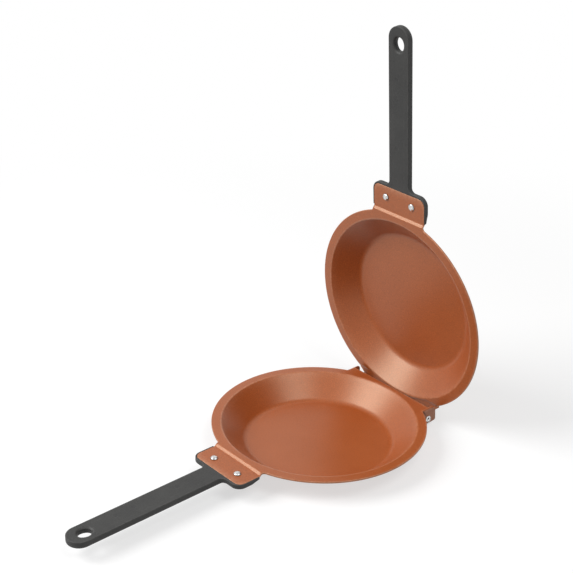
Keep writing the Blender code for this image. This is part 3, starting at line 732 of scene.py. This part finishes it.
def spun(profile, steps, ring=False, painted_shade=0.0):
    """A profile of radius and height turned about Z in equal steps; a ring's profile meets itself. The
    painted shade is one number, or one for each point of the profile."""
    angle = np.linspace(0, 2 * np.pi, steps, endpoint=False)
    radius, height = profile[:, 0, None], profile[:, 1, None]
    grid = np.dstack([radius * np.cos(angle), radius * np.sin(angle), height + 0 * angle])
    return grid, ring, True, np.broadcast_to(np.reshape(painted_shade, (-1, 1)), grid.shape[:2])


def moved(part, by):
    """The same part somewhere else."""
    return (part[0] + by, *part[1:])


def bright_rivet(name):
    """Tumbled aluminium: fine random scratches, small dents from the setting tool, a slow change of
    polish, and painted shade, darkest where a head meets the sheet and in a bore."""
    material, tree, shader, place = new_finish(name, Metallic=1.0)
    scratch = speckle(tree, place, 5200, 4, 0, 1)
    dents = speckle(tree, place, 620, 2, 0, 1)
    colour = blend(tree, dents, (0.40, 0.40, 0.40), (0.84, 0.84, 0.83))
    # Painted shade: darker where a head meets the sheet, under the head and in a bore.
    painted_shade = node(tree, "ShaderNodeAttribute", attribute_name="wear_and_painted_light").outputs["Fac"]
    tree.links.new(blend(tree, painted_shade, colour, (0.055, 0.050, 0.048)), shader.inputs["Base Color"])
    tree.links.new(speckle(tree, place, 1300, 3, 0.16, 0.32), shader.inputs["Roughness"])
    relief = bump(tree, dents, 0.05 * mm)
    tree.links.new(bump(tree, scratch, 0.004 * mm, relief), shader.inputs["Normal"])
    return material


def dome_rivet():
    """Profile of a set rivet: the head is a quarter ellipse with a flat ring where it meets the tab, the
    shank is straight, and the tail is a disc with a chamfer and a shallow dish."""
    seat = 0.05 * mm
    turn = np.radians(np.linspace(0, 90, 14))
    dome = np.column_stack([rivet_head[0] * np.sin(turn), seat + rivet_head[1] * np.cos(turn) ** 0.9])
    tail = base_back - 1.4 * mm
    under = seat - 0.05 * mm
    rest = [(rivet_head[0] - 0.05 * mm, under), (rivet_shank, under), (rivet_shank, tail)]
    rest += [(rivet_tail, tail), (rivet_tail, tail - 0.5 * mm), (rivet_tail - 0.3 * mm, tail - 0.85 * mm)]
    rest += [(rivet_tail - 0.9 * mm, tail - 1.1 * mm), (rivet_tail - 1.5 * mm, tail - 1.05 * mm)]
    rest += [(0.7 * mm, tail - 0.8 * mm), (0, tail - 0.75 * mm)]
    return np.vstack([dome, rest])


rivet_metal = bright_rivet("rivet_bright")
# Painted shade along the profile: none on the dome's top, darkest where it meets the tab, some below.
dome_painted_shade = np.concatenate([np.linspace(0, 0.1, 10), (0.25, 0.6, 0.9, 1.0), np.full(10, 0.3)])
rivet = spun(dome_rivet(), 40, painted_shade=dome_painted_shade)
for half_name, body, place in (("lower", "lower", on_lower), ("upper", "lid", on_lid)):
    for side_name, x in (("left", -rivet_x), ("right", rivet_x)):
        name = f"{half_name}_handle_rivet_{side_name}"
        piece = skin(name + "_set", [moved(rivet, (x, rivet_y, -crease_drop))], place)
        piece.data.materials.append(rivet_metal)
        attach(piece, body)
        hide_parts(name)

# Burr washers, one under the tail of each handle rivet. Punched from plain steel strip, so that one edge
# of each is a little rounder than the other; they keep the tails from splitting the moulding.
burr_radius = 3.9 * mm
burr_thickness = 0.8 * mm
burr_bore = 2.3 * mm


def punched_ring(bore, radius, low, high, roll):
    """Profile of a punched washer, right round: two flats, with rolled edges on the side that the punch
    met."""
    turn = np.radians(np.linspace(0, 90, 4))[:, None]
    outer = np.array((radius - roll, high - roll)) + roll * np.hstack([np.sin(turn), np.cos(turn)])
    inner = np.array((bore + roll, high - roll)) + roll * np.hstack([-np.cos(turn), np.sin(turn)])
    return np.vstack([outer, [(radius, low + 0.05 * mm), (radius - 0.05 * mm, low), (bore, low)], inner])


def plain_steel(name):
    """Plain zinc-grey steel: a fine rolled grain, dull spots and a soft uneven sheen."""
    material, tree, shader, place = new_finish(name, Metallic=1.0)
    grain = speckle(tree, place, 3000, 3, 0, 1)
    spots = speckle(tree, place, 500, 3, 0, 1)
    tree.links.new(blend(tree, spots, (0.44, 0.44, 0.44), (0.62, 0.62, 0.61)), shader.inputs["Base Color"])
    tree.links.new(speckle(tree, place, 900, 3, 0.28, 0.48), shader.inputs["Roughness"])
    tree.links.new(bump(tree, grain, 0.006 * mm), shader.inputs["Normal"])
    return material


washer_metal = plain_steel("washer_grey")
under_base = base_back - 0.3 * mm
punched_roll = 0.2 * mm
burr_profile = punched_ring(burr_bore, burr_radius, under_base - burr_thickness, under_base, punched_roll)
burr = spun(burr_profile, 40, ring=True)
for half_name, body, place in (("lower", "lower", on_lower), ("upper", "lid", on_lid)):
    for side_name, x in (("left", -rivet_x), ("right", rivet_x)):
        name = f"{half_name}_burr_washer_{side_name}"
        piece = skin(name + "_punched", [moved(burr, (x, rivet_y, -crease_drop))], place)
        piece.data.materials.append(washer_metal)
        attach(piece, body)
        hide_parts(name)

# Hinge rivets. Tubular, with a head rolled back outside each lower ear and the bore painted with shade, so
# that it shows as a dark eye, and a flared tail inside the lid's ear; they are the lid's pivots and stay with
# the lower pan.
pin_shank = 2.0 * mm
pin_bore = 1.0 * mm
pin_head = 3.1 * mm
pin_tail = 2.9 * mm


def on_hinge(part, side):
    """Turns a part drawn about Z onto the hinge axis, pointing out to the right for 1 or to the left for
    -1."""
    grid = part[0]
    turned = np.stack([side * grid[..., 2], grid[..., 1], -side * grid[..., 0]], axis=-1)
    return (turned + (0, pivot_y, -pivot_drop), *part[1:])


def tubular_rivet():
    """Profile of the hinge rivet: the bottom of the bore, the rolled rim as half a circle, the underside
    of the head, the shank, and a flared tail with its own rim."""
    head = ear_outside + 0.05 * mm
    tail = lid_ear_inside - 0.3 * mm
    roll = arc((0.5 * (pin_bore + pin_head), head + 0.05 * mm), 0.5 * (pin_head - pin_bore), 180, 0, 14)
    roll[:, 1] = head + (roll[:, 1] - head) * 0.9
    rest = [(pin_head - 0.1 * mm, head), (pin_shank, head), (pin_shank, tail), (pin_tail, tail)]
    rest += [(pin_tail, tail - 0.4 * mm), (pin_tail - 0.35 * mm, tail - 0.9 * mm), (1.6 * mm, tail - 0.8 * mm)]
    rest += [(pin_bore, tail - 0.3 * mm), (0, tail - 0.2 * mm)]
    return np.vstack([[(0, head - 1.6 * mm), (pin_bore, head - 1.5 * mm)], roll, rest])


# Painted shade along the profile: darkest in the bore, some under the head and on the tail.
bore_painted_shade = np.concatenate([(1.0, 0.9, 0.5), np.zeros(11), (0.2, 0.6), np.full(10, 0.3)])
pin = spun(tubular_rivet(), 36, painted_shade=bore_painted_shade)
for side_name, side in (("left", -1), ("right", 1)):
    name = "hinge_rivet_" + side_name
    piece = skin(name + "_rolled", [on_hinge(pin, side)], on_lower)
    piece.data.materials.append(rivet_metal)
    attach(piece, "lower")
    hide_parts(name)

# Hinge washers, one on each rivet between the lower ear and the lid's ear. Punched from the same grey
# steel as the burr washers; they keep the two coated ears from rubbing.
hinge_washer_radius = 8.4 * mm
hinge_washer_outside = ear_inside - 0.3 * mm
hinge_washer_inside = hinge_washer_outside - 1.0 * mm

washer_sides = (hinge_washer_inside, hinge_washer_outside)
ring = spun(punched_ring(burr_bore, hinge_washer_radius, *washer_sides, punched_roll), 56, ring=True)
for side_name, side in (("left", -1), ("right", 1)):
    name = "hinge_washer_" + side_name
    piece = skin(name + "_punched", [on_hinge(ring, side)], on_lower)
    piece.data.materials.append(washer_metal)
    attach(piece, "lower")
    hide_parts(name)

# Floor, lamps and camera. A pale floor that fades into a white surround, a broad soft lamp high on the
# left, a weaker one on the right, and the camera where the photograph was taken from.
azimuth, elevation, roll = np.radians((47.57, 26.28, 1.43))
lens = 84.12
aim = np.array((-228.42, 163.55, 0))
distance = 1493.97
aim_share = 0.97
floor_half = 4.0
floor_near = 0.32
floor_far = 0.80


def shown_white(tree):
    """1 for rays from the camera and for those that a shiny or clear surface sends, and 0 for all
    others."""
    path = node(tree, "ShaderNodeLightPath")
    first = node(tree, "ShaderNodeMath", operation="MAXIMUM")
    second = node(tree, "ShaderNodeMath", operation="MAXIMUM")
    tree.links.new(path.outputs["Is Camera Ray"], first.inputs[0])
    tree.links.new(path.outputs["Is Glossy Ray"], first.inputs[1])
    tree.links.new(first.outputs[0], second.inputs[0])
    tree.links.new(path.outputs["Is Transmission Ray"], second.inputs[1])
    return second.outputs[0]


def floor_finish():
    """A matt pale floor whose own light makes up the rest of white for the camera, so that only its
    shadow shows. Away from the object the paint fades out and its own light takes over, so that it ends
    in white."""
    material, tree, shader, place = new_finish("floor_pale", Roughness=1.0, Specular_IOR_Level=0.0)
    away = node(tree, "ShaderNodeVectorMath", operation="LENGTH")
    tree.links.new(place, away.inputs[0])
    colour, light = (node(tree, "ShaderNodeMapRange", interpolation_type="SMOOTHSTEP") for _ in range(2))
    for fade, near, far in ((colour, 0.42, 0.0), (light, 0.62, 1.0)):
        tree.links.new(away.outputs["Value"], fade.inputs["Value"])
        fade.inputs["From Min"].default_value = floor_near
        fade.inputs["From Max"].default_value = floor_far
        fade.inputs["To Min"].default_value = near
        fade.inputs["To Max"].default_value = far
    tree.links.new(colour.outputs["Result"], shader.inputs["Base Color"])
    shader.inputs["Emission Color"].default_value = (1, 1, 1, 1)
    shown = node(tree, "ShaderNodeMath", operation="MULTIPLY")
    tree.links.new(shown_white(tree), shown.inputs[0])
    tree.links.new(light.outputs["Result"], shown.inputs[1])
    tree.links.new(shown.outputs[0], shader.inputs["Emission Strength"])
    return material


floor_mesh = bpy.data.meshes.new("floor")
corners = [(-floor_half, -floor_half, 0), (floor_half, -floor_half, 0)]
corners += [(floor_half, floor_half, 0), (-floor_half, floor_half, 0)]
floor_mesh.from_pydata(np.array(corners) - (0, 0, 0.2 * mm), [], [(0, 1, 2, 3)])
floor_mesh.materials.append(floor_finish())
floor = bpy.data.objects.new("floor", floor_mesh)
bpy.context.scene.collection.objects.link(floor)

world = bpy.data.worlds.new("surround")
bpy.context.scene.world = world
world.use_nodes = True
tree = world.node_tree
background = tree.nodes["Background"]
background.inputs["Color"].default_value = (1, 1, 1, 1)
strength = node(tree, "ShaderNodeMapRange")
tree.links.new(shown_white(tree), strength.inputs["Value"])
strength.inputs["To Min"].default_value = 0.27
strength.inputs["To Max"].default_value = 1.0
tree.links.new(strength.outputs["Result"], background.inputs["Strength"])

middle = np.array((0, -0.02, 0.13))
for name, place, size, power in (
    ("key", (-0.90, -1.35, 1.48), 1.5, 42),
    ("side", (1.08, 0.04, 1.93), 1.1, 12),
):
    light = bpy.data.lights.new(name, "AREA")
    light.shape = "DISK"
    light.size = size
    light.energy = power
    lamp = bpy.data.objects.new(name, light)
    bpy.context.scene.collection.objects.link(lamp)
    away = np.array(place) - middle
    away /= np.linalg.norm(away)
    side = np.cross((0, 0, 1), away)
    side /= np.linalg.norm(side)
    turned = np.eye(4)
    turned[:3, :3] = np.column_stack([side, np.cross(away, side), away])
    turned[:3, 3] = place
    lamp.matrix_world = Matrix(turned)

level = np.array((np.sin(azimuth), -np.cos(azimuth), 0))
back = np.cos(elevation) * level + (0, 0, np.sin(elevation))
right = np.array((np.cos(azimuth), np.sin(azimuth), 0))
up = np.cross(back, right)
across_view = np.cos(roll) * right + np.sin(roll) * up
up_view = -np.sin(roll) * right + np.cos(roll) * up
stand = ((aim + distance * back) * aim_share + (0, 0, pan_height / mm)) * mm
turned = np.eye(4)
turned[:3, :3] = np.column_stack([across_view, up_view, back])
turned[:3, 3] = stand
camera = bpy.data.objects.new("camera", bpy.data.cameras.new("camera"))
bpy.context.scene.collection.objects.link(camera)
camera.matrix_world = Matrix(turned)
camera.data.lens = lens
camera.data.sensor_width = 36
camera.data.clip_start = 0.01
camera.data.clip_end = 50
bpy.context.scene.camera = camera
bpy.context.scene.view_settings.view_transform = "Standard"

bpy.context.view_layer.update()
